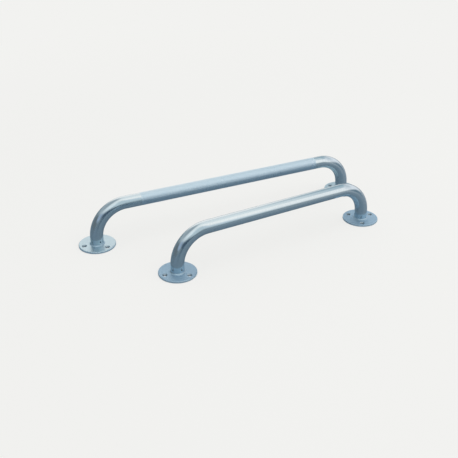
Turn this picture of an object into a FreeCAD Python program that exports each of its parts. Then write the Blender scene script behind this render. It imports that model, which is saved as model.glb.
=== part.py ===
import FreeCAD, Part
import math
import os

# Two grab bars of one make, a long one and a short one, standing free on their flanges.
# Each bar is a bent tube whose ends sit in two round flanges and are held there by weld rings.
# +Z is up from the face that the flanges rest on, +X runs along the long bar's side of the set,
# and +Y points from the short bar to the long one. Lengths are in millimetres, angles in degrees.

# Tube
tube_diameter = 26.9
tube_wall = 1.6
bend_radius = 65.0
run_height = 84.0
long_bar_length = 600.0
short_bar_length = 450.0

# Flange
flange_diameter = 76.0
flange_thickness = 4.0
flange_rim_radius = 1.5
flange_base_chamfer = 0.4
tube_seat_clearance = 0.1
tube_end_recess = 0.5

# Screw holes of one flange, with a countersink in its upper face
screw_hole_count = 3
screw_hole_circle_diameter = 55.0
screw_hole_diameter = 6.0
countersink_diameter = 10.5
countersink_angle = 90.0

# Weld ring between tube and flange, hollow by a share of its leg
weld_leg = 2.5
weld_hollow_share = 0.12

# Where the two bars stand
bars_apart = 159.2
short_bar_shift = 20.6
long_bar_turn = -3.8

# How far a cutting shape runs past what it cuts
cut_overrun = 1.0

FULL_TURN = 360.0
HALF_TURN = FULL_TURN / 2
UP = FreeCAD.Vector(0, 0, 1)
ORIGIN = FreeCAD.Vector(0, 0, 0)

tube_radius = tube_diameter / 2
flange_radius = flange_diameter / 2

# The set's middle in Y lies halfway between the outer edges of its flanges.
# The turned bar reaches furthest back at the flange that its turn swings away.
turned_reach = long_bar_length / 2 * abs(math.sin(math.radians(long_bar_turn)))
set_depth = flange_radius + bars_apart + turned_reach + flange_radius
short_bar_y = flange_radius - set_depth / 2
long_bar_y = short_bar_y + bars_apart


def section_point(radius, height):
    """A point of a turned section, in the XZ plane."""
    return FreeCAD.Vector(radius, 0, height)


def line(start, end):
    """A straight edge."""
    return Part.LineSegment(start, end).toShape()


def arc(start, middle, end):
    """A round edge through three points."""
    return Part.Arc(start, middle, end).toShape()


def turned_solid(edges):
    """A solid of revolution about Z from the edges of a closed section."""
    section = Part.Face(Part.Wire(edges))
    return section.revolve(ORIGIN, UP, FULL_TURN)


def tube_path(length):
    """The middle line of a tube: a leg, a bend, the straight run, a bend and a leg."""
    leg_x = length / 2
    bend_start_z = run_height - bend_radius
    run_end_x = leg_x - bend_radius
    bend_middle_x = run_end_x + bend_radius * math.cos(math.radians(HALF_TURN / 4))
    bend_middle_z = bend_start_z + bend_radius * math.sin(math.radians(HALF_TURN / 4))
    foot, shoulder = section_point(leg_x, tube_end_recess), section_point(leg_x, bend_start_z)
    crown, run_end = section_point(bend_middle_x, bend_middle_z), section_point(run_end_x, run_height)

    def mirrored(point):
        return section_point(-point.x, point.z)

    edges = [
        line(mirrored(foot), mirrored(shoulder)),
        arc(mirrored(shoulder), mirrored(crown), mirrored(run_end)),
        line(mirrored(run_end), run_end),
        arc(run_end, crown, shoulder),
        line(shoulder, foot),
    ]
    return Part.Wire(edges)


def rod_along(path, radius):
    """A round rod of one radius along a path that starts straight up."""
    start = path.OrderedVertexes[0].Point
    circle = Part.Wire(Part.makeCircle(radius, start, UP))
    return path.makePipeShell([circle], True, False)


def bent_tube(length):
    """The hollow tube, open at both feet."""
    path = tube_path(length)
    outside = rod_along(path, tube_radius)
    inside = rod_along(path, tube_radius - tube_wall)
    return outside.cut(inside)


def screw_hole():
    """The shape that one countersunk screw hole takes out of a flange at the origin."""
    hole_radius = screw_hole_diameter / 2
    sink_radius = countersink_diameter / 2
    slope = math.tan(math.radians(countersink_angle / 2))
    sink_floor = flange_thickness - (sink_radius - hole_radius) / slope
    sink_height = flange_thickness - sink_floor + cut_overrun
    wide_radius = hole_radius + sink_height * slope
    drill_start = FreeCAD.Vector(0, 0, -cut_overrun)
    drill = Part.makeCylinder(hole_radius, flange_thickness + 2 * cut_overrun, drill_start)
    sink = Part.makeCone(hole_radius, wide_radius, sink_height, FreeCAD.Vector(0, 0, sink_floor))
    return drill.fuse(sink)


def flange():
    """A flange at the origin, with its first screw hole towards +X."""
    bore = tube_radius + tube_seat_clearance
    rim_start_z = flange_thickness - flange_rim_radius
    rim_end_r = flange_radius - flange_rim_radius
    rim_middle_r = rim_end_r + flange_rim_radius * math.cos(math.radians(HALF_TURN / 4))
    rim_middle_z = rim_start_z + flange_rim_radius * math.sin(math.radians(HALF_TURN / 4))
    corners = [
        section_point(bore, 0),
        section_point(flange_radius - flange_base_chamfer, 0),
        section_point(flange_radius, flange_base_chamfer),
        section_point(flange_radius, rim_start_z),
        section_point(rim_end_r, flange_thickness),
        section_point(bore, flange_thickness),
    ]
    edges = [
        line(corners[0], corners[1]),
        line(corners[1], corners[2]),
        line(corners[2], corners[3]),
        arc(corners[3], section_point(rim_middle_r, rim_middle_z), corners[4]),
        line(corners[4], corners[5]),
        line(corners[5], corners[0]),
    ]
    blank = turned_solid(edges)
    hole = screw_hole()
    hole.translate(FreeCAD.Vector(screw_hole_circle_diameter / 2, 0, 0))
    for index in range(screw_hole_count):
        turned_hole = hole.copy()
        turned_hole.rotate(ORIGIN, UP, FULL_TURN * index / screw_hole_count)
        blank = blank.cut(turned_hole)
    return blank


def weld_ring():
    """The weld round a tube that stands at the origin, on its flange's upper face."""
    inner = section_point(tube_radius, flange_thickness)
    toe = section_point(tube_radius + weld_leg, flange_thickness)
    top = section_point(tube_radius, flange_thickness + weld_leg)
    sag = weld_leg * weld_hollow_share
    middle = section_point((toe.x + top.x) / 2 - sag, (toe.z + top.z) / 2 - sag)
    return turned_solid([line(inner, toe), arc(toe, middle, top), line(top, inner)])


def stood(shape, bar_x, bar_y, bar_turn):
    """A copy of a shape from a bar's own frame, where that bar stands in the set."""
    placed = shape.copy()
    placed.rotate(ORIGIN, UP, bar_turn)
    placed.translate(FreeCAD.Vector(bar_x, bar_y, 0))
    return placed


def at_end(shape, length, turn):
    """A copy of a piece at the origin, moved to the +X end of a bar and turned about the bar's middle."""
    placed = shape.copy()
    placed.translate(FreeCAD.Vector(length / 2, 0, 0))
    placed.rotate(ORIGIN, UP, turn)
    return placed


def bar_pieces(length):
    """The pieces of one bar in its own frame, by name."""
    return {
        "tube": bent_tube(length),
        "left_flange": at_end(flange(), length, HALF_TURN),
        "right_flange": at_end(flange(), length, 0),
        "left_weld": at_end(weld_ring(), length, HALF_TURN),
        "right_weld": at_end(weld_ring(), length, 0),
    }


def export(name, shape):
    """One node's file, with a line that says whether its solid is sound."""
    shape.exportStep("parts/" + name + ".step")
    print(name, "valid", shape.isValid(), "solids", len(shape.Solids), "volume", round(shape.Volume, 1))


os.makedirs("parts", exist_ok=True)
bars = {
    "long_bar": (long_bar_length, 0, long_bar_y, long_bar_turn),
    "short_bar": (short_bar_length, short_bar_shift, short_bar_y, 0),
}
for bar, (length, bar_x, bar_y, bar_turn) in bars.items():
    for piece, shape in bar_pieces(length).items():
        export(bar + "_" + piece, stood(shape, bar_x, bar_y, bar_turn))
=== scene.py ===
"""Looks of the grab bar set: polished tubes, countersunk flanges, dressed welds and a knurled grip."""
import functools
import logging
import math
from dataclasses import dataclass
from enum import Enum

import bmesh
import bpy
import numpy as np
from mathutils import Matrix, Vector


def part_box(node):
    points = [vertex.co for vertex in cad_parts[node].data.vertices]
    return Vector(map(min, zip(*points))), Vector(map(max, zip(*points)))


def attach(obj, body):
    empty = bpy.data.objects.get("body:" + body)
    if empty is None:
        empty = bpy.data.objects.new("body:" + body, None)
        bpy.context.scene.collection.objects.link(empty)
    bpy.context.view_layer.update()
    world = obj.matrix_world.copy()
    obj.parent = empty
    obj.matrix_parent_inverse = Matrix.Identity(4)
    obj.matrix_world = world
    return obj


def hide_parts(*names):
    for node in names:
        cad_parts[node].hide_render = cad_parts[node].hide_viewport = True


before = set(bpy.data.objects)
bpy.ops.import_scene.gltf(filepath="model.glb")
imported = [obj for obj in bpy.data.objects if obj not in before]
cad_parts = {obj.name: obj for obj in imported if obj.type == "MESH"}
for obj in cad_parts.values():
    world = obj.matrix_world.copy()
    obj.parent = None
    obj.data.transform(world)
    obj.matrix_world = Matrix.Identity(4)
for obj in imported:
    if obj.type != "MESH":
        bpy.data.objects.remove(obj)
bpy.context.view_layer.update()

MILLIMETRE = 0.001
BODY = "root"
MERGE_DISTANCE = 0.002 * MILLIMETRE
SHARP_ANGLE = math.radians(35)
log = logging.getLogger("grab_bars")

Colour = tuple[float, float, float]
Mesh = bpy.types.Mesh
Object = bpy.types.Object
Socket = bpy.types.NodeSocket
Tree = bpy.types.NodeTree


class Side(Enum):
    """An end of a bar, with the direction from the bar's middle to it."""

    LEFT = -1
    RIGHT = 1


class TreeWriter:
    """Writes one node tree: adds nodes with their settings and links their sockets."""

    # Where the Mix node keeps its two colours among its inputs, and their blend among its outputs.
    MIX_FIRST, MIX_SECOND, MIX_RESULT = 6, 7, 2

    def __init__(self, tree: Tree) -> None:
        """Starts on a geometry or shader node tree."""
        self.tree = tree

    @classmethod
    def emptied(cls, owner: bpy.types.Material | bpy.types.World) -> "TreeWriter":
        """Starts on the tree of a material or the world, with its first nodes removed.

        Args:
            owner: The material or the world.

        Returns:
            The writer.
        """
        owner.use_nodes = True
        owner.node_tree.nodes.clear()
        return cls(owner.node_tree)

    def sockets(self, kind: str, *names: str, in_out: str = "INPUT") -> None:
        """Adds named sockets of one kind to the tree's interface.

        Args:
            kind: Blender's socket type without its first word, such as Float.
            names: The sockets' names.
            in_out: INPUT or OUTPUT.
        """
        for name in names:
            self.tree.interface.new_socket(name, in_out=in_out, socket_type="NodeSocket" + kind)

    def add(self, kind: str, inputs: dict | None = None, **settings: object) -> bpy.types.Node:
        """Adds a node.

        Args:
            kind: The node's type name.
            inputs: Values or output sockets by input name or index.
            settings: Attributes of the node itself.

        Returns:
            The node.
        """
        node = self.tree.nodes.new(kind)
        for name, value in settings.items():
            setattr(node, name, value)
        for name, value in (inputs or {}).items():
            self.feed(node.inputs[name], value)
        return node

    def feed(self, target: Socket, value: object) -> None:
        """Links an output socket to an input, or sets the input's own value.

        Args:
            target: The input.
            value: An output socket, or a plain value. A colour has three numbers.
        """
        if isinstance(value, Socket):
            self.tree.links.new(value, target)
        else:
            target.default_value = (*value, 1.0) if target.type == "RGBA" else value

    def math(self, operation: str, *values: object) -> Socket:
        """Adds a Math node for numbers or sockets and returns its result."""
        return self.add("ShaderNodeMath", dict(enumerate(values)), operation=operation).outputs[0]

    def vector_math(self, operation: str, *values: object) -> Socket:
        """Adds a Vector Math node and returns its result, a number for DOT_PRODUCT and LENGTH."""
        node = self.add("ShaderNodeVectorMath", dict(enumerate(values)), operation=operation)
        return node.outputs["Value" if operation in ("DOT_PRODUCT", "LENGTH") else "Vector"]

    def ramp(self, value: object, start: object, end: object, soft: bool = False) -> Socket:
        """Adds a share that climbs from 0 to 1 between two values, eased where it is soft."""
        return self.add("ShaderNodeMapRange", {"Value": value, "From Min": start, "From Max": end},
                        interpolation_type="SMOOTHSTEP" if soft else "LINEAR").outputs[0]

    def vector(self, x: object, y: object, z: object) -> Socket:
        """Returns the socket of a vector made of three numbers or sockets."""
        return self.add("ShaderNodeCombineXYZ", {"X": x, "Y": y, "Z": z}).outputs[0]

    def parts(self, vector: object) -> bpy.types.NodeOutputs:
        """Returns the sockets of a vector's X, Y and Z, by name."""
        return self.add("ShaderNodeSeparateXYZ", {0: vector}).outputs

    def blend(self, share: object, first: object, second: object) -> Socket:
        """Adds a blend of two colours and returns it. The share is the second one's, from 0 to 1."""
        inputs = {0: share, self.MIX_FIRST: first, self.MIX_SECOND: second}
        return self.add("ShaderNodeMix", inputs, data_type="RGBA").outputs[self.MIX_RESULT]

    def dress(self, geometry: object, material: object, where: object = True) -> Socket:
        """Adds a Set Material node for the faces where a choice holds, and returns its geometry."""
        inputs = {"Geometry": geometry, "Selection": where, "Material": material}
        return self.add("GeometryNodeSetMaterial", inputs).outputs[0]

    def group(self, tree: Tree, inputs: dict) -> Socket:
        """Places a node group and returns its first output."""
        return self.add("ShaderNodeGroup", inputs, node_tree=tree).outputs[0]


@dataclass(frozen=True)
class TubeStock:
    """The bent tube's own sizes, in metres, and the least angle in radians that stays a sharp edge."""

    radius: float = 13.45 * MILLIMETRE
    wall: float = 1.6 * MILLIMETRE
    bend_radius: float = 65 * MILLIMETRE
    run_height: float = 84 * MILLIMETRE
    foot_height: float = 0.5 * MILLIMETRE
    round_count: int = 108
    bend_count: int = 32
    crease: float = math.radians(8)


@dataclass(frozen=True)
class FlangeStock:
    """The flange's own sizes, in metres, and how finely it is turned."""

    radius: float = 38 * MILLIMETRE
    thickness: float = 4 * MILLIMETRE
    rim_radius: float = 1.5 * MILLIMETRE
    base_chamfer: float = 0.4 * MILLIMETRE
    bore_radius: float = 13.55 * MILLIMETRE
    hole_circle_radius: float = 27.5 * MILLIMETRE
    hole_radius: float = 3 * MILLIMETRE
    sink_radius: float = 5.25 * MILLIMETRE
    lip_radius: float = 0.3 * MILLIMETRE
    hole_count: int = 3
    turn_count: int = 144
    hole_turn_count: int = 48
    rim_steps: int = 12
    lip_steps: int = 5
    lip_lift_share: float = 1 / 30
    cut_overrun: float = 1 * MILLIMETRE

    def side_start(self) -> float:
        """Returns the radius past which the rim's rounding is steeper than 45 degrees."""
        return self.radius - self.rim_radius * (1 - math.sqrt(0.5))


@dataclass(frozen=True)
class WeldStock:
    """The weld ring's own sizes, in metres, and its ripples."""

    leg: float = 2.5 * MILLIMETRE
    hollow_share: float = 0.12
    ripple_height: float = 0.05 * MILLIMETRE
    ripple_count: int = 72
    turn_count: int = 288
    face_steps: int = 6


@dataclass(frozen=True)
class Grip:
    """The gripped stretch of a bar's run, in metres: its length, its knurl's depth and its shift to +X."""

    length: float
    depth: float = 0.0
    shift: float = 0.0


KNURLED_MIDDLE = Grip(length=420 * MILLIMETRE, depth=0.12 * MILLIMETRE, shift=8 * MILLIMETRE)
SMOOTH_MIDDLE = Grip(length=200 * MILLIMETRE)


class FinishGroups:
    """The surface effects that the finishes share, each a shader node group that is built once."""

    GRAIN_DETAIL = 3.0
    GRAIN_RANGE = (0.3, 0.7)
    # Each direction of the scratches has its turn in radians and its seed.
    SCRATCH_DIRECTIONS = ((0.5, 3.1), (-0.9, 8.7))
    SCRATCH_STRETCH = (1.0, 22.0, 1.0)
    SCRATCH_DETAIL = 1.0
    SCRATCH_RANGE = (0.66, 0.74)
    SMUDGE_DETAIL = 4.0
    SMUDGE_DISTORTION = 0.6
    SMUDGE_RANGE = (0.42, 0.68)

    @staticmethod
    def _start(name: str, output: str, *inputs: str) -> tuple[TreeWriter, bpy.types.NodeOutputs]:
        """Starts a shader group that reads a Vector and gives a number.

        Args:
            name: The group's name.
            output: Its output's name.
            inputs: The names of its other inputs, which are numbers.

        Returns:
            The writer, and the sockets that hold the group's inputs.
        """
        writer = TreeWriter(bpy.data.node_groups.new(name, "ShaderNodeTree"))
        writer.sockets("Vector", "Vector")
        writer.sockets("Float", *inputs)
        writer.sockets("Float", output, in_out="OUTPUT")
        return writer, writer.add("NodeGroupInput").outputs

    @classmethod
    @functools.cache
    def polish_grain(cls) -> Tree:
        """Builds the fine lines that a polishing belt leaves across a tube or round a plate.

        Returns:
            A group with inputs Vector, Along Scale and Around Scale, and the output Grain from 0 to 1.
        """
        writer, given = cls._start("polish_grain", "Grain", "Along Scale", "Around Scale")
        scales = writer.vector(given["Along Scale"], given["Around Scale"], 1.0)
        placed = writer.vector_math("MULTIPLY", given["Vector"], scales)
        noise = writer.add("ShaderNodeTexNoise", {
            "Vector": placed, "Scale": 1.0, "Detail": cls.GRAIN_DETAIL})
        spread = writer.ramp(noise.outputs["Fac"], *cls.GRAIN_RANGE)
        writer.add("NodeGroupOutput", {"Grain": spread})
        return writer.tree

    @classmethod
    @functools.cache
    def fine_scratches(cls) -> Tree:
        """Builds sparse hairline scratches that run in two crossing directions.

        Returns:
            A group with inputs Vector, Scale and Amount, and the output Mask from 0 to 1.
        """
        writer, given = cls._start("fine_scratches", "Mask", "Scale", "Amount")
        masks = []
        for turn, seed in cls.SCRATCH_DIRECTIONS:
            turned = writer.add("ShaderNodeVectorRotate", {"Vector": given["Vector"], "Angle": turn},
                                rotation_type="Z_AXIS").outputs[0]
            placed = writer.vector_math("MULTIPLY", turned, cls.SCRATCH_STRETCH)
            noise = writer.add("ShaderNodeTexNoise", {
                "Vector": placed, "W": seed, "Scale": given["Scale"], "Detail": cls.SCRATCH_DETAIL,
            }, noise_dimensions="4D")
            masks.append(writer.ramp(noise.outputs["Fac"], *cls.SCRATCH_RANGE))
        both = writer.math("MAXIMUM", *masks)
        writer.add("NodeGroupOutput", {"Mask": writer.math("MULTIPLY", both, given["Amount"])})
        return writer.tree

    @classmethod
    @functools.cache
    def handling_smudges(cls) -> Tree:
        """Builds the soft patches that hands and cloths leave on polished steel.

        Returns:
            A group with inputs Vector and Scale, and the output Mask from 0 to 1.
        """
        writer, given = cls._start("handling_smudges", "Mask", "Scale")
        noise = writer.add("ShaderNodeTexNoise", {
            "Vector": given["Vector"], "Scale": given["Scale"], "Detail": cls.SMUDGE_DETAIL,
            "Distortion": cls.SMUDGE_DISTORTION})
        spread = writer.ramp(noise.outputs["Fac"], *cls.SMUDGE_RANGE, soft=True)
        writer.add("NodeGroupOutput", {"Mask": spread})
        return writer.tree


@dataclass(frozen=True)
class SteelFinish:
    """One finish of the steel: its colour, its gloss and the marks on it. Scales count per metre."""

    name: str
    colour: Colour = (0.60, 0.70, 0.75)
    streak_colour: Colour = (0.52, 0.62, 0.68)
    roughness: float = 0.10
    roughness_spread: float = 0.06
    smudge_roughness: float = 0.05
    grain_along: float = 2600.0
    grain_around: float = 90.0
    grain_height: float = 0.6
    scratches: float = 0.35
    scratch_scale: float = 60.0
    smudge_scale: float = 12.0
    bump_depth: float = 0.004 * MILLIMETRE

    @functools.cache
    def material(self) -> bpy.types.Material:
        """Builds the finish as a node material.

        Returns:
            The material, built on the first call.
        """
        material = bpy.data.materials.new(self.name)
        writer = TreeWriter.emptied(material)
        surface = writer.add("ShaderNodeUVMap", uv_map=SurfaceMap.NAME).outputs["UV"]
        place = writer.add("ShaderNodeTexCoord").outputs["Object"]
        grain = writer.group(FinishGroups.polish_grain(), {
            "Vector": surface, "Along Scale": self.grain_along, "Around Scale": self.grain_around})
        scratches = writer.group(FinishGroups.fine_scratches(), {
            "Vector": surface, "Scale": self.scratch_scale, "Amount": self.scratches})
        smudges = writer.group(FinishGroups.handling_smudges(), {
            "Vector": place, "Scale": self.smudge_scale})
        colour = writer.blend(grain, self.colour, self.streak_colour)
        gloss = writer.math("MULTIPLY_ADD", grain, self.roughness_spread, self.roughness)
        gloss = writer.math("MULTIPLY_ADD", smudges, self.smudge_roughness, gloss)
        gloss = writer.math("MULTIPLY_ADD", scratches, self.roughness_spread, gloss)
        height = writer.math("SUBTRACT", writer.math("MULTIPLY", grain, self.grain_height), scratches)
        bump = writer.add("ShaderNodeBump", {
            "Height": height, "Distance": self.bump_depth, "Strength": 1.0})
        shader = writer.add("ShaderNodeBsdfPrincipled", {
            "Base Color": colour, "Metallic": 1.0, "Roughness": gloss, "Normal": bump.outputs["Normal"]})
        writer.add("ShaderNodeOutputMaterial", {"Surface": shader.outputs["BSDF"]})
        return material


POLISHED_TUBE = SteelFinish("polished_tube")
KNURLED_GRIP = SteelFinish("knurled_grip", colour=(0.58, 0.71, 0.80), streak_colour=(0.50, 0.64, 0.73),
                           roughness=0.25, roughness_spread=0.08, grain_height=0.3, scratches=0.1)
POLISHED_PLATE = SteelFinish("polished_plate", colour=(0.49, 0.63, 0.70), streak_colour=(0.44, 0.58, 0.66),
                             roughness=0.33, grain_along=1600.0, grain_around=40.0)
DULL_PLATE = SteelFinish("dull_plate", colour=(0.43, 0.59, 0.72), streak_colour=(0.38, 0.54, 0.67),
                         roughness=0.56, grain_along=1600.0, grain_around=40.0)
DRESSED_WELD = SteelFinish("dressed_weld", colour=(0.45, 0.60, 0.70), streak_colour=(0.38, 0.52, 0.62),
                           roughness=0.46)
# The hole's rough machined gloss is real, and its darker colour is painted shade for the dark recess.
DRILLED_HOLE_PAINTED_SHADE = SteelFinish("drilled_hole", colour=(0.38, 0.48, 0.54), streak_colour=(0.28, 0.36, 0.42),
                           roughness=0.40, grain_along=9000.0, grain_around=60.0, grain_height=1.0)
# The rim's rough turned gloss is real, and its lighter colour is a painted reflection of a pale floor.
TURNED_RIM_PAINTED_REFLECTION = SteelFinish("turned_rim", colour=(0.68, 0.82, 0.90), streak_colour=(0.58, 0.72, 0.81),
                         roughness=0.70, grain_along=9000.0, grain_around=25.0)


class SurfaceMap:
    """Writes the UV map that the finishes read: lengths in metres along and round a piece."""

    NAME = "surface"

    @staticmethod
    def write(mesh: Mesh, along: np.ndarray, angle: np.ndarray, radius: float) -> None:
        """Stores a map, with the seam behind the piece kept whole.

        Args:
            mesh: The mesh.
            along: One length for each vertex.
            angle: One angle round the piece's axis for each vertex, in radians.
            radius: The radius that turns an angle into a length.
        """
        corners = np.array([corner.vertex_index for corner in mesh.loops])
        starts = np.array([face.loop_start for face in mesh.polygons])
        turns = angle[corners]
        highest = np.maximum.reduceat(turns, starts)
        counts = np.diff(np.append(starts, len(turns)))
        gap = np.repeat(highest, counts) - turns
        turns = np.where(gap > math.pi, turns + math.tau, turns)
        layer = mesh.uv_layers.new(name=SurfaceMap.NAME)
        places = np.stack([along[corners], turns * radius], 1)
        layer.data.foreach_set("uv", places.astype(np.float32).ravel())

    @staticmethod
    def points(mesh: Mesh) -> np.ndarray:
        """Returns the vertices' places, one row each."""
        return np.array([vertex.co for vertex in mesh.vertices])


class BentTubeTree:
    """The node tree that makes a hollow bent tube: each wall is a grid wrapped round the bent path."""

    STRAIGHT_STEPS = 1.0
    HALF_STEP = 0.5

    def __init__(self) -> None:
        """Builds the tree."""
        self.writer = TreeWriter(bpy.data.node_groups.new("bent_tube", "GeometryNodeTree"))
        writer = self.writer
        writer.sockets("Geometry", "Geometry")
        writer.sockets("Float", "Leg Span", "Run Height", "Foot Height", "Bend Radius", "Tube Radius",
                       "Bore Radius", "Grip Length", "Grip Shift", "Knurl Depth")
        writer.sockets("Int", "Round Count", "Bend Count", "Grip Count")
        writer.sockets("Material", "Finish", "Grip Finish")
        writer.sockets("Geometry", "Geometry", in_out="OUTPUT")
        self.given = writer.add("NodeGroupInput").outputs
        walls = writer.add("GeometryNodeJoinGeometry")
        for wall in (self._wall("Bore Radius", 0.0, 1),
                     self._wall("Tube Radius", self.given["Knurl Depth"], self.given["Grip Count"])):
            writer.feed(walls.inputs[0], wall)
        merged = writer.add("GeometryNodeMergeByDistance", {"Geometry": walls.outputs[0],
                                                            "Distance": MERGE_DISTANCE})
        real = writer.add("GeometryNodeRealizeInstances", {"Geometry": merged.outputs[0]})
        plain = writer.dress(real.outputs[0], self.given["Finish"])
        knurled = writer.dress(plain, self.given["Grip Finish"], self._on_grip())
        writer.add("NodeGroupOutput", {"Geometry": knurled})

    def _half(self, name: str) -> Socket:
        """Returns half of one of the tree's inputs."""
        return self.writer.math("MULTIPLY", self.given[name], 0.5)

    def _on_grip(self) -> Socket:
        """Adds the choice of the faces on the outside of the knurled grip.

        Returns:
            The choice's socket, 1 for a face on the grip and 0 for any other.
        """
        calc, given = self.writer.math, self.given
        place = self.writer.parts(self.writer.add("GeometryNodeInputPosition").outputs[0])
        off = calc("ABSOLUTE", calc("SUBTRACT", place["X"], given["Grip Shift"]))
        along = calc("LESS_THAN", off, self._half("Grip Length"))
        height = calc("SUBTRACT", place["Z"], given["Run Height"])
        reach = calc("SQRT", calc("MULTIPLY_ADD", height, height, calc("POWER", place["Y"], 2.0)))
        inner = calc("ADD", self._half("Tube Radius"), self._half("Bore Radius"))
        outside = calc("GREATER_THAN", reach, inner)
        knurled = calc("GREATER_THAN", given["Knurl Depth"], 0.0)
        return calc("MULTIPLY", calc("MULTIPLY", along, outside), knurled)

    def _wall(self, radius: str, depth: object, grip_steps: object) -> Socket:
        """Adds one wall of the tube.

        Args:
            radius: The name of the input that holds the wall's radius.
            depth: How deep every second point of the grip lies.
            grip_steps: How many steps there are from the middle to the grip's end.

        Returns:
            The wall's mesh, open at its two feet.
        """
        writer, given, calc = self.writer, self.given, self.writer.math
        columns = calc("ADD", given["Round Count"], 1.0)
        ends = [grip_steps]
        for steps in (self.STRAIGHT_STEPS, given["Bend Count"], self.STRAIGHT_STEPS):
            ends.append(calc("ADD", ends[-1], steps))
        rings = calc("MULTIPLY_ADD", ends[-1], 2.0, 1.0)
        grid = writer.add("GeometryNodeMeshGrid", {"Vertices X": rings, "Vertices Y": columns})
        index = writer.add("GeometryNodeInputIndex").outputs[0]
        ring = calc("FLOOR", calc("DIVIDE", calc("ADD", index, self.HALF_STEP), columns))
        column = calc("SUBTRACT", index, calc("MULTIPLY", ring, columns))
        step = calc("SUBTRACT", ring, ends[-1])
        side, far = calc("SIGN", step), calc("ABSOLUTE", step)
        starts = [0.0, *ends[:-1]]
        gripped, plain, bent, straight = (writer.ramp(far, low, high) for low, high in zip(starts, ends))

        grip_half, bend_radius, shift = self._half("Grip Length"), given["Bend Radius"], given["Grip Shift"]
        run_half = calc("SUBTRACT", self._half("Leg Span"), bend_radius)
        run_half = calc("SUBTRACT", run_half, calc("MULTIPLY", side, shift))
        corner = calc("SUBTRACT", given["Run Height"], bend_radius)
        run = calc("MULTIPLY", plain, calc("SUBTRACT", run_half, grip_half))
        run = calc("MULTIPLY_ADD", gripped, grip_half, run)
        drop = calc("MULTIPLY", straight, calc("SUBTRACT", corner, given["Foot Height"]))
        turn = calc("MULTIPLY", bent, math.pi / 2)

        low = calc("MODULO", calc("ADD", far, column), 2.0)
        inside = calc("LESS_THAN", far, calc("SUBTRACT", grip_steps, self.HALF_STEP))
        groove = calc("MULTIPLY", calc("MULTIPLY", low, inside), depth)
        reach = calc("SUBTRACT", given[radius], groove)
        angle = calc("MULTIPLY", calc("DIVIDE", column, given["Round Count"]), math.tau)
        outward = calc("MULTIPLY_ADD", calc("COSINE", angle), reach, bend_radius)
        x = calc("MULTIPLY_ADD", calc("SINE", turn), outward, run)
        x = calc("MULTIPLY_ADD", x, side, shift)
        y = calc("MULTIPLY", calc("SINE", angle), reach)
        z = calc("MULTIPLY_ADD", calc("COSINE", turn), outward, calc("SUBTRACT", corner, drop))
        wrapped = writer.add("GeometryNodeSetPosition", {"Geometry": grid.outputs["Mesh"],
                                                         "Position": writer.vector(x, y, z)})

        along = calc("MULTIPLY_ADD", turn, bend_radius, calc("ADD", run, drop))
        around = calc("MULTIPLY", angle, given["Tube Radius"])
        surface = writer.vector(calc("MULTIPLY", along, side), around, 0.0)
        on_points = writer.add("GeometryNodeFieldOnDomain", {0: surface}, data_type="FLOAT_VECTOR",
                               domain="POINT")
        mapped = writer.add("GeometryNodeStoreNamedAttribute", {
            "Geometry": wrapped.outputs[0], "Name": SurfaceMap.NAME, "Value": on_points.outputs[0],
        }, data_type="FLOAT2", domain="CORNER")
        return writer.add("GeometryNodeTriangulate", {"Mesh": mapped.outputs[0]},
                          quad_method="SHORTEST_DIAGONAL").outputs[0]


class DrilledPlateTree:
    """The node tree that cuts a circle of like holes into a plate that lies at the origin."""

    # A face near a hole belongs to the hole where its normal's Z is smaller than this.
    STEEP_NORMAL = 0.8

    def __init__(self) -> None:
        """Builds the tree."""
        self.writer = TreeWriter(bpy.data.node_groups.new("drilled_plate", "GeometryNodeTree"))
        writer, calc = self.writer, self.writer.math
        writer.sockets("Geometry", "Geometry")
        writer.sockets("Object", "Cutter")
        writer.sockets("Int", "Hole Count")
        writer.sockets("Float", "Hole Circle Radius", "Sink Radius", "Side Start")
        writer.sockets("Material", "Finish", "Hole Finish", "Rim Finish")
        writer.sockets("Geometry", "Geometry", in_out="OUTPUT")
        given = writer.add("NodeGroupInput").outputs
        cutter = writer.add("GeometryNodeObjectInfo", {"Object": given["Cutter"]})
        places = writer.add("GeometryNodeMeshCircle", {"Vertices": given["Hole Count"],
                                                       "Radius": given["Hole Circle Radius"]})
        holes = writer.add("GeometryNodeInstanceOnPoints", {"Points": places.outputs[0],
                                                            "Instance": cutter.outputs["Geometry"]})
        real = writer.add("GeometryNodeRealizeInstances", {"Geometry": holes.outputs[0]})
        cut = writer.add("GeometryNodeMeshBoolean", {
            "Mesh 1": given["Geometry"], "Mesh 2": real.outputs[0]}, operation="DIFFERENCE", solver="EXACT")
        whole = writer.add("GeometryNodeRealizeInstances", {"Geometry": cut.outputs[0]})

        place = writer.parts(writer.add("GeometryNodeInputPosition").outputs[0])
        level = writer.vector(place["X"], place["Y"], 0.0)
        middles = writer.add("GeometryNodeProximity", {
            "Geometry": places.outputs[0], "Sample Position": level}, target_element="POINTS")
        normal = writer.parts(writer.add("GeometryNodeInputNormal").outputs[0])
        steep = calc("LESS_THAN", calc("ABSOLUTE", normal["Z"]), self.STEEP_NORMAL)
        near = calc("LESS_THAN", middles.outputs["Distance"], given["Sink Radius"])
        on_side = calc("GREATER_THAN", writer.vector_math("LENGTH", level), given["Side Start"])
        dressed = writer.dress(whole.outputs[0], given["Finish"])
        # The hole faces take the finish whose darker colour is painted shade.
        drilled = writer.dress(dressed, given["Hole Finish"], calc("MULTIPLY", steep, near))
        # The rim faces take the finish whose lighter colour is a painted reflection of a pale floor.
        turned = writer.dress(drilled, given["Rim Finish"], on_side)
        writer.add("NodeGroupOutput", {"Geometry": turned})


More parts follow.
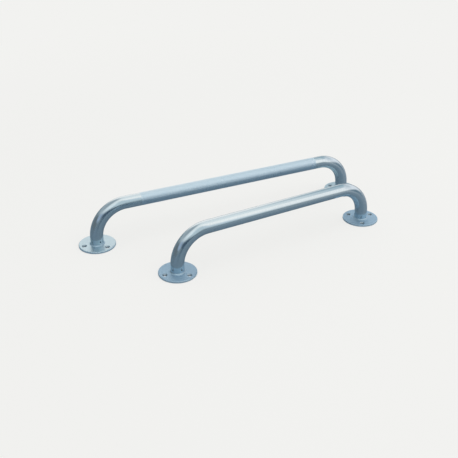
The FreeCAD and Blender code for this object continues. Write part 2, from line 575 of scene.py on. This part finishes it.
def turn_section(name: str, section: list[tuple[float, float]], count: int, capped: bool = False) -> Mesh:
    """Turns a section about Z.

    Args:
        name: The mesh's name.
        section: Radius and height of each point, in order. It closes on itself unless it is capped.
        count: How many steps go round.
        capped: True for a solid round the axis, closed by a flat face at each end.

    Returns:
        A closed mesh whose faces point outwards.
    """
    angles = np.arange(count) * math.tau / count
    outline = np.array(section)
    radius, height = outline[:, 0], outline[:, 1]
    x, y = np.outer(np.cos(angles), radius), np.outer(np.sin(angles), radius)
    places = np.stack([x, y, np.broadcast_to(height, x.shape)], 2).reshape(-1, 3)
    size = len(section)
    steps = size - 1 if capped else size
    faces = []
    for turn in range(count):
        here, there = turn * size, (turn + 1) % count * size
        for point in range(steps):
            after = (point + 1) % size
            faces.append((here + point, there + point, there + after, here + after))
    if capped:
        faces.append([turn * size for turn in range(count)])
        faces.append([turn * size + size - 1 for turn in range(count)])
    mesh = bpy.data.meshes.new(name)
    mesh.from_pydata(places.tolist(), [], faces)
    face_outwards(mesh)
    return mesh


def level_square(name: str, half: float, height: float) -> Mesh:
    """Makes a level square about the Z axis.

    Args:
        name: The mesh's name.
        half: Half of a side.
        height: How high it lies.

    Returns:
        The square, which faces up.
    """
    corners = [(x * half, y * half, height) for x, y in ((-1, -1), (1, -1), (1, 1), (-1, 1))]
    mesh = bpy.data.meshes.new(name)
    mesh.from_pydata(corners, [], [(0, 1, 2, 3)])
    return mesh


def face_outwards(mesh: Mesh) -> None:
    """Points the faces of a closed mesh outwards.

    Args:
        mesh: The mesh.
    """
    work = bmesh.new()
    work.from_mesh(mesh)
    bmesh.ops.recalc_face_normals(work, faces=work.faces)
    work.to_mesh(mesh)
    work.free()


def shade(mesh: Mesh, crease: float) -> None:
    """Shades a mesh smooth, but for edges sharper than an angle in radians."""
    mesh.shade_smooth()
    mesh.set_sharp_from_angle(angle=crease)


def object_of(name: str, data: bpy.types.ID) -> Object:
    """Puts a mesh, lamp or camera in the scene.

    Args:
        name: The object's name.
        data: What it holds.

    Returns:
        The object, at the origin.
    """
    made = bpy.data.objects.new(name, data)
    bpy.context.scene.collection.objects.link(made)
    return made


def apply_modifiers(made: Object) -> Mesh:
    """Applies an object's modifiers.

    Args:
        made: The object, which is removed.

    Returns:
        The plain mesh.
    """
    bpy.context.view_layer.update()
    graph = bpy.context.evaluated_depsgraph_get()
    mesh = bpy.data.meshes.new_from_object(made.evaluated_get(graph), depsgraph=graph)
    bpy.data.objects.remove(made)
    return mesh


def run_tree(blank: Mesh, tree: Tree, inputs: dict[str, object]) -> Mesh:
    """Runs a geometry tree on a mesh.

    Args:
        blank: The mesh.
        tree: The tree.
        inputs: The tree's input values by name.

    Returns:
        The plain mesh, with the material slots that its faces use.
    """
    made = object_of(blank.name, blank)
    modifier = made.modifiers.new(tree.name, "NODES")
    modifier.node_group = tree
    for item in tree.interface.items_tree:
        if item.in_out == "INPUT" and item.name in inputs:
            modifier[item.identifier] = inputs[item.name]
    mesh = apply_modifiers(made)
    used = {face.material_index for face in mesh.polygons}
    for index in reversed(range(len(mesh.materials))):
        if index not in used:
            mesh.materials.pop(index=index)
    return mesh


def weigh_normals(mesh: Mesh) -> Mesh:
    """Makes normals that keep large flat faces flat beside rounded edges.

    Args:
        mesh: The mesh.

    Returns:
        A copy with those normals.
    """
    shade(mesh, SHARP_ANGLE)
    made = object_of(mesh.name, mesh)
    modifier = made.modifiers.new("weighted", "WEIGHTED_NORMAL")
    modifier.keep_sharp = True
    return apply_modifiers(made)


def close_ends(mesh: Mesh) -> None:
    """Closes each open end of a hollow tube with a ring between its two walls.

    Args:
        mesh: The tube's mesh.
    """
    work = bmesh.new()
    work.from_mesh(mesh)
    rims = [edge for edge in work.edges if edge.is_boundary]
    for side in Side:
        rim = [edge for edge in rims if edge.verts[0].co.x * side.value > 0]
        bmesh.ops.bridge_loops(work, edges=rim)
    work.to_mesh(mesh)
    work.free()
    face_outwards(mesh)


@dataclass
class GrabBar:
    """One bar of the set: its tube, two flanges and two welds, made where the frame has them."""

    name: str
    grip: Grip
    plate_finish: SteelFinish
    tube: TubeStock = TubeStock()
    flange: FlangeStock = FlangeStock()
    weld: WeldStock = WeldStock()

    def leg(self, side: Side) -> Vector:
        """Returns the foot of a leg's axis, on the face that the flanges rest on."""
        middle = sum(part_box(f"{self.name}_{side.name.lower()}_weld"), Vector()) / 2
        return Vector((middle.x, middle.y, 0.0))

    def span(self) -> float:
        """Returns the distance between the legs' axes."""
        return (self.leg(Side.RIGHT) - self.leg(Side.LEFT)).length

    def placement(self) -> Matrix:
        """Finds the bar's place in the set.

        Returns:
            The turn and shift that take the bar from its own frame to the set's.
        """
        left, right = self.leg(Side.LEFT), self.leg(Side.RIGHT)
        line = right - left
        turn = Matrix.Rotation(math.atan2(line.y, line.x), 4, "Z")
        return Matrix.Translation((left + right) / 2) @ turn

    def end_placement(self, side: Side) -> Matrix:
        """Returns the turn and shift that take an end's piece from the origin to its leg."""
        turn = Matrix.Rotation(math.pi if side is Side.LEFT else 0.0, 4, "Z")
        return self.placement() @ turn @ Matrix.Translation((self.span() / 2, 0, 0))

    def keep(self, mesh: Mesh, node: str) -> None:
        """Puts a finished mesh in the scene in place of its CAD node.

        Args:
            mesh: The mesh, in the set's frame.
            node: The node that it stands for.
        """
        piece = object_of(node.replace(self.name, self.name + "_dressed"), mesh)
        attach(piece, BODY)
        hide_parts(node)
        log.info("%s: %d faces", piece.name, len(mesh.polygons))

    def build_tube(self, tree: BentTubeTree) -> None:
        """Makes the bent tube, with the knurl on its run where the bar has one.

        Args:
            tree: The tree that makes it.
        """
        tube, grip = self.tube, self.grip
        point_gap = math.tau * tube.radius / tube.round_count
        mesh = run_tree(bpy.data.meshes.new(self.name + "_blank"), tree.writer.tree, {
            "Leg Span": self.span(),
            "Run Height": tube.run_height,
            "Foot Height": tube.foot_height,
            "Bend Radius": tube.bend_radius,
            "Tube Radius": tube.radius,
            "Bore Radius": tube.radius - tube.wall,
            "Grip Length": grip.length,
            "Grip Shift": grip.shift,
            "Knurl Depth": grip.depth,
            "Round Count": tube.round_count,
            "Bend Count": tube.bend_count,
            "Grip Count": round(grip.length / 2 / point_gap) if grip.depth else 1,
            "Finish": POLISHED_TUBE.material(),
            "Grip Finish": KNURLED_GRIP.material(),
        })
        close_ends(mesh)
        shade(mesh, tube.crease)
        mesh.transform(self.placement())
        self.keep(mesh, self.name + "_tube")

    def flange_section(self) -> list[tuple[float, float]]:
        """Draws the flange's section.

        Returns:
            Its radii and heights from the bore, along the base, round the rim and back over the top.
        """
        flange = self.flange
        rim_centre_r = flange.radius - flange.rim_radius
        rim_centre_z = flange.thickness - flange.rim_radius
        section = [
            (flange.bore_radius, 0.0),
            (flange.radius - flange.base_chamfer, 0.0),
            (flange.radius, flange.base_chamfer),
        ]
        for angle in np.linspace(0, math.pi / 2, flange.rim_steps + 1):
            section.append((rim_centre_r + flange.rim_radius * math.cos(angle),
                            rim_centre_z + flange.rim_radius * math.sin(angle)))
        section.append((flange.bore_radius, flange.thickness))
        return section

    def cutter_section(self) -> list[tuple[float, float]]:
        """Draws the section of what one screw hole takes out.

        Returns:
            Its radii and heights from the bottom to the rounded lip at the top.
        """
        flange = self.flange
        sink_floor = flange.thickness - (flange.sink_radius - flange.hole_radius)
        # The lip's arc meets the 45 degree sink smoothly, and is lifted so that it ends clear of the face.
        lip_r = flange.sink_radius + (math.sqrt(2) - 1) * flange.lip_radius
        lip_z = flange.thickness - flange.lip_radius * (1 - flange.lip_lift_share)
        section = [(flange.hole_radius, -flange.cut_overrun), (flange.hole_radius, sink_floor)]
        for angle in np.linspace(math.pi * 3 / 4, math.pi / 2, flange.lip_steps + 1):
            section.append((lip_r + flange.lip_radius * math.cos(angle),
                            lip_z + flange.lip_radius * math.sin(angle)))
        section.append((lip_r, flange.thickness + flange.cut_overrun))
        return section

    def build_flange(self, side: Side, tree: DrilledPlateTree) -> None:
        """Makes one flange: a turned plate with its countersunk holes.

        Args:
            side: The end that it stands at.
            tree: The tree that drills it.
        """
        node = f"{self.name}_{side.name.lower()}_flange"
        flange = self.flange
        plate = turn_section(node, self.flange_section(), flange.turn_count)
        bit = turn_section("cutter", self.cutter_section(), flange.hole_turn_count, capped=True)
        cutter = object_of("cutter", bit)
        drilled = run_tree(plate, tree.writer.tree, {
            "Cutter": cutter,
            "Hole Count": flange.hole_count,
            "Hole Circle Radius": flange.hole_circle_radius,
            "Sink Radius": flange.sink_radius,
            "Side Start": flange.side_start(),
            "Finish": self.plate_finish.material(),
            "Hole Finish": DRILLED_HOLE_PAINTED_SHADE.material(),
            "Rim Finish": TURNED_RIM_PAINTED_REFLECTION.material(),
        })
        bpy.data.objects.remove(cutter)
        mesh = weigh_normals(drilled)
        x, y, z = SurfaceMap.points(mesh).T
        SurfaceMap.write(mesh, np.hypot(x, y) - z, np.arctan2(y, x), flange.hole_circle_radius)
        mesh.transform(self.end_placement(side))
        self.keep(mesh, node)

    def build_weld(self, side: Side) -> None:
        """Makes one weld ring, with the low ripples of its bead.

        Args:
            side: The end that it stands at.
        """
        node = f"{self.name}_{side.name.lower()}_weld"
        weld, foot = self.weld, self.flange.thickness
        section = [(self.tube.radius, foot)]
        for share in np.linspace(0, 1, weld.face_steps + 1):
            # The bow is 0 at the edges of the weld's face and 1 in its middle.
            bow = 4 * share * (1 - share)
            dip = weld.leg * weld.hollow_share * bow
            section.append((self.tube.radius + weld.leg * (1 - share) - dip, foot + weld.leg * share - dip))
        mesh = turn_section(node, section, weld.turn_count)
        mesh.materials.append(DRESSED_WELD.material())
        x, y, z = SurfaceMap.points(mesh).T
        radius, angle = np.hypot(x, y), np.arctan2(y, x)
        on_face = (radius > self.tube.radius + MERGE_DISTANCE) & (z > foot + MERGE_DISTANCE)
        grown = 1 + on_face * weld.ripple_height * np.sin(angle * weld.ripple_count) / radius
        mesh.vertices.foreach_set("co", np.stack([x * grown, y * grown, z], 1).ravel())
        shade(mesh, SHARP_ANGLE)
        SurfaceMap.write(mesh, radius + z, angle, self.tube.radius)
        mesh.transform(self.end_placement(side))
        self.keep(mesh, node)

    def build(self, tube_tree: BentTubeTree, plate_tree: DrilledPlateTree) -> None:
        """Makes all the bar's pieces.

        Args:
            tube_tree: The tree that makes tubes.
            plate_tree: The tree that drills flanges.
        """
        self.build_tube(tube_tree)
        for side in Side:
            self.build_flange(side, plate_tree)
            self.build_weld(side)


def heading(azimuth: float, elevation: float) -> Vector:
    """Returns a direction of length 1 from its angles in degrees, the azimuth from the front towards +X."""
    turn, lift = math.radians(azimuth), math.radians(elevation)
    return Vector((math.sin(turn) * math.cos(lift), -math.cos(turn) * math.cos(lift), math.sin(lift)))


@dataclass(frozen=True)
class TentCard:
    """A soft-edged card inside the tent, with all its angles in degrees.

    It hangs at an azimuth, from the front towards +X, and an elevation. Its half size goes across and up.
    """

    at: tuple[float, float]
    half_size: tuple[float, float]
    colour: Colour
    tilt: float = 0.0
    fade: float = 0.4

    def axes(self) -> tuple[Vector, Vector, Vector]:
        """Finds the card's directions.

        Returns:
            The directions across the card, up it and out to its middle, each of length 1.
        """
        azimuth, tilt = math.radians(self.at[0]), math.radians(self.tilt)
        outward = heading(*self.at)
        level = Vector((math.cos(azimuth), math.sin(azimuth), 0.0))
        upright = outward.cross(level)
        across = level * math.cos(tilt) + upright * math.sin(tilt)
        return across, outward.cross(across), outward

    def share(self, writer: TreeWriter, towards: Socket) -> Socket:
        """Adds how much of the card is seen in a direction.

        Args:
            writer: The writer on the tent's material.
            towards: The direction, of length 1.

        Returns:
            The share's socket, from 0 to 1.
        """
        across, upward, outward = self.axes()
        reach = 0.0
        for axis, half in zip((across, upward), self.half_size):
            along = writer.vector_math("DOT_PRODUCT", towards, axis)
            along = writer.math("DIVIDE", along, math.sin(math.radians(half)))
            reach = writer.math("MULTIPLY_ADD", along, along, reach)
        seen = writer.ramp(writer.math("SQRT", reach), 1.0 + self.fade, 1.0 - self.fade, soft=True)
        ahead = writer.math("GREATER_THAN", writer.vector_math("DOT_PRODUCT", towards, outward), 0.0)
        return writer.math("MULTIPLY", seen, ahead)


@dataclass(frozen=True)
class ReflectionTent:
    """What the polished steel mirrors: a dark table under a dome that brightens upwards, hung with cards.

    Only glossy rays see it, as a photographer's cards stand outside the picture. Sizes are in metres.
    """

    radius: float = 4.0
    table_lift: float = 0.3 * MILLIMETRE
    table_colour: Colour = (0.20, 0.27, 0.33)
    table_roughness: float = 0.2
    table_gloss: float = 0.25
    # The dome's colour at each elevation in degrees.
    levels: tuple[tuple[float, Colour], ...] = (
        (8.0, (0.26, 0.32, 0.35)),
        (30.0, (0.51, 0.57, 0.60)),
        (46.0, (0.86, 0.88, 0.89)),
        (64.0, (1.10, 1.09, 1.06)),
    )
    cards: tuple[TentCard, ...] = (
        TentCard(at=(-137, 55), half_size=(30, 22), colour=(0.44, 0.49, 0.52)),
        TentCard(at=(-22, 48), half_size=(27, 15), colour=(1.12, 1.14, 1.14), fade=0.8),
        TentCard(at=(-101, 11), half_size=(38, 17), colour=(0.19, 0.22, 0.24)),
        TentCard(at=(-68, 22), half_size=(22, 11), colour=(0.45, 0.53, 0.66), tilt=-15),
        TentCard(at=(0, 36), half_size=(15, 30), colour=(0.70, 0.78, 0.81)),
        TentCard(at=(-9, 1), half_size=(45, 10), colour=(0.08, 0.12, 0.17), tilt=-31),
        TentCard(at=(24, 36), half_size=(10, 28), colour=(0.76, 0.83, 0.88)),
        TentCard(at=(42, 44), half_size=(12.5, 45), colour=(1.36, 1.26, 1.19), fade=0.3),
        TentCard(at=(92, 26), half_size=(44, 24), colour=(1.12, 1.07, 1.08)),
        TentCard(at=(55, -4), half_size=(26, 12), colour=(0.19, 0.27, 0.33), tilt=26),
        TentCard(at=(161, 18), half_size=(24, 32), colour=(1.28, 1.19, 1.13)),
        TentCard(at=(101, 37), half_size=(28, 8), colour=(0.78, 0.80, 0.83), fade=0.6),
        TentCard(at=(98, 50), half_size=(22, 5), colour=(0.60, 0.69, 0.74), tilt=-13),
        TentCard(at=(130, 33), half_size=(18, 7), colour=(0.38, 0.50, 0.56), tilt=-64, fade=0.8),
    )
    ring_steps: int = 48

    def dome_colour(self, writer: TreeWriter) -> Socket:
        """Adds the dome's colour: its levels from the horizon up, and then each card over them.

        Args:
            writer: The writer on the dome's material.

        Returns:
            The colour's socket.
        """
        towards = writer.vector_math("NORMALIZE", writer.add("ShaderNodeTexCoord").outputs["Object"])
        height = writer.parts(towards)["Z"]
        colour = self.levels[0][1]
        for (start, _), (end, above) in zip(self.levels, self.levels[1:]):
            rise = writer.ramp(height, math.sin(math.radians(start)), math.sin(math.radians(end)))
            colour = writer.blend(rise, colour, above)
        for card in self.cards:
            colour = writer.blend(card.share(writer, towards), colour, card.colour)
        return colour

    @staticmethod
    def place(mesh: Mesh) -> TreeWriter:
        """Puts one part of the tent in the scene, seen by glossy rays alone.

        Args:
            mesh: The part's mesh.

        Returns:
            The writer on its material.
        """
        part = object_of(mesh.name, mesh)
        mesh.materials.append(bpy.data.materials.new(mesh.name))
        for ray in ("camera", "diffuse", "transmission", "volume_scatter", "shadow"):
            setattr(part, "visible_" + ray, False)
        return TreeWriter.emptied(mesh.materials[0])

    def build_table(self) -> None:
        """Makes the table: dark, and glossy enough to carry the cards below the horizon."""
        writer = self.place(level_square("dark_table", self.radius, -self.table_lift))
        top = writer.add("ShaderNodeBsdfPrincipled", {"Base Color": self.table_colour,
                                                      "Specular IOR Level": self.table_gloss,
                                                      "Roughness": self.table_roughness})
        writer.add("ShaderNodeOutputMaterial", {"Surface": top.outputs[0]})

    def build(self) -> None:
        """Makes the table and the dome."""
        self.build_table()
        work = bmesh.new()
        bmesh.ops.create_uvsphere(work, u_segments=self.ring_steps, v_segments=self.ring_steps // 2,
                                  radius=self.radius)
        dome = bpy.data.meshes.new("dome")
        work.to_mesh(dome)
        work.free()
        writer = self.place(dome)
        glow = writer.add("ShaderNodeEmission", {"Color": self.dome_colour(writer)})
        writer.add("ShaderNodeOutputMaterial", {"Surface": glow.outputs[0]})


@dataclass(frozen=True)
class CameraPlace:
    """Where the camera stands: its aim in metres, its angles in degrees and its lens in millimetres."""

    aim: tuple[float, float, float] = (-0.06493, -0.04686, 0.03824)
    azimuth: float = -30.402
    elevation: float = 28.821
    roll: float = -0.303
    distance: float = 1.4677
    lens: float = 56.56

    def build(self) -> None:
        """Makes the scene's camera."""
        back = heading(self.azimuth, self.elevation)
        turn = (-back).to_track_quat("-Z", "Y").to_matrix().to_4x4()
        data = bpy.data.cameras.new("camera")
        data.lens = self.lens
        camera = object_of("camera", data)
        camera.matrix_world = (Matrix.Translation(Vector(self.aim) + back * self.distance) @ turn
                               @ Matrix.Rotation(math.radians(-self.roll), 4, "Z"))
        bpy.context.scene.camera = camera


@dataclass(frozen=True)
class Studio:
    """A pale floor under a large soft lamp, with a tent for the metal to reflect."""

    backdrop: Colour = (0.888, 0.888, 0.871)
    light_colour: Colour = (1.0, 1.0, 1.0)
    ambient: float = 0.78
    floor_half: float = 8.0
    floor_drop: float = 0.5 * MILLIMETRE
    shadow_share: float = 0.20
    fade_start: float = 0.6
    fade_end: float = 1.8
    lamp_place: tuple[float, float, float] = (1.5, -0.9, 2.7)
    lamp_width: float = 3.0
    lamp_depth: float = 2.4
    lamp_power: float = 30.0

    @staticmethod
    def seen_share(writer: TreeWriter) -> Socket:
        """Adds a value of 1 for the rays that see the backdrop: from the camera, metal or glass.

        Args:
            writer: The writer on the world or the floor.

        Returns:
            The value's socket.
        """
        path = writer.add("ShaderNodeLightPath")
        seen = writer.math("MAXIMUM", path.outputs["Is Camera Ray"], path.outputs["Is Glossy Ray"])
        return writer.math("MAXIMUM", seen, path.outputs["Is Transmission Ray"])

    def build_world(self) -> None:
        """Makes the world: the pale backdrop where it is seen, and even light elsewhere."""
        world = bpy.data.worlds.new("studio")
        writer = TreeWriter.emptied(world)
        seen = writer.add("ShaderNodeBackground", {"Color": self.backdrop})
        light = writer.add("ShaderNodeBackground", {"Color": self.light_colour, "Strength": self.ambient})
        mixed = writer.add("ShaderNodeMixShader", {0: self.seen_share(writer), 1: light.outputs[0],
                                                   2: seen.outputs[0]})
        writer.add("ShaderNodeOutputWorld", {"Surface": mixed.outputs[0]})
        bpy.context.scene.world = world

    def build_floor(self) -> None:
        """Makes the floor, which takes the bars' shadows and fades into the backdrop further out."""
        mesh = level_square("floor", self.floor_half, -self.floor_drop)
        mesh.materials.append(bpy.data.materials.new("floor"))
        writer = TreeWriter.emptied(mesh.materials[0])
        reach = writer.vector_math("LENGTH", writer.add("ShaderNodeTexCoord").outputs["Object"])
        far = writer.ramp(reach, self.fade_start, self.fade_end, soft=True)
        paled = writer.math("MULTIPLY_ADD", far, self.shadow_share, 1.0 - self.shadow_share)
        seen = writer.math("MULTIPLY", paled, self.seen_share(writer))
        lit = writer.add("ShaderNodeBsdfDiffuse", {"Color": self.backdrop})
        pale = writer.add("ShaderNodeEmission", {"Color": self.backdrop})
        mixed = writer.add("ShaderNodeMixShader", {0: seen, 1: lit.outputs[0], 2: pale.outputs[0]})
        writer.add("ShaderNodeOutputMaterial", {"Surface": mixed.outputs[0]})
        object_of("floor", mesh)

    def build_lamp(self) -> None:
        """Makes the large soft lamp above and in front of the bars."""
        data = bpy.data.lights.new("soft_lamp", "AREA")
        data.shape = "RECTANGLE"
        data.size, data.size_y = self.lamp_width, self.lamp_depth
        data.energy = self.lamp_power
        lamp = object_of("soft_lamp", data)
        place = Vector(self.lamp_place)
        lamp.matrix_world = Matrix.Translation(place) @ place.to_track_quat("Z", "Y").to_matrix().to_4x4()
        lamp.visible_camera = False
        lamp.visible_glossy = False

    def build(self) -> None:
        """Makes the whole studio."""
        self.build_world()
        self.build_floor()
        self.build_lamp()
        ReflectionTent().build()
        CameraPlace().build()


def main() -> None:
    """Builds the two bars and the studio, and reports each piece."""
    logging.basicConfig(level=logging.INFO, format="%(name)s %(message)s")
    tube_tree, plate_tree = BentTubeTree(), DrilledPlateTree()
    for name, grip, plate_finish in (("long_bar", KNURLED_MIDDLE, POLISHED_PLATE),
                                     ("short_bar", SMOOTH_MIDDLE, DULL_PLATE)):
        GrabBar(name, grip, plate_finish).build(tube_tree, plate_tree)
    Studio().build()
    bpy.context.scene.view_settings.view_transform = "Standard"


if __name__ == "__main__":
    main()
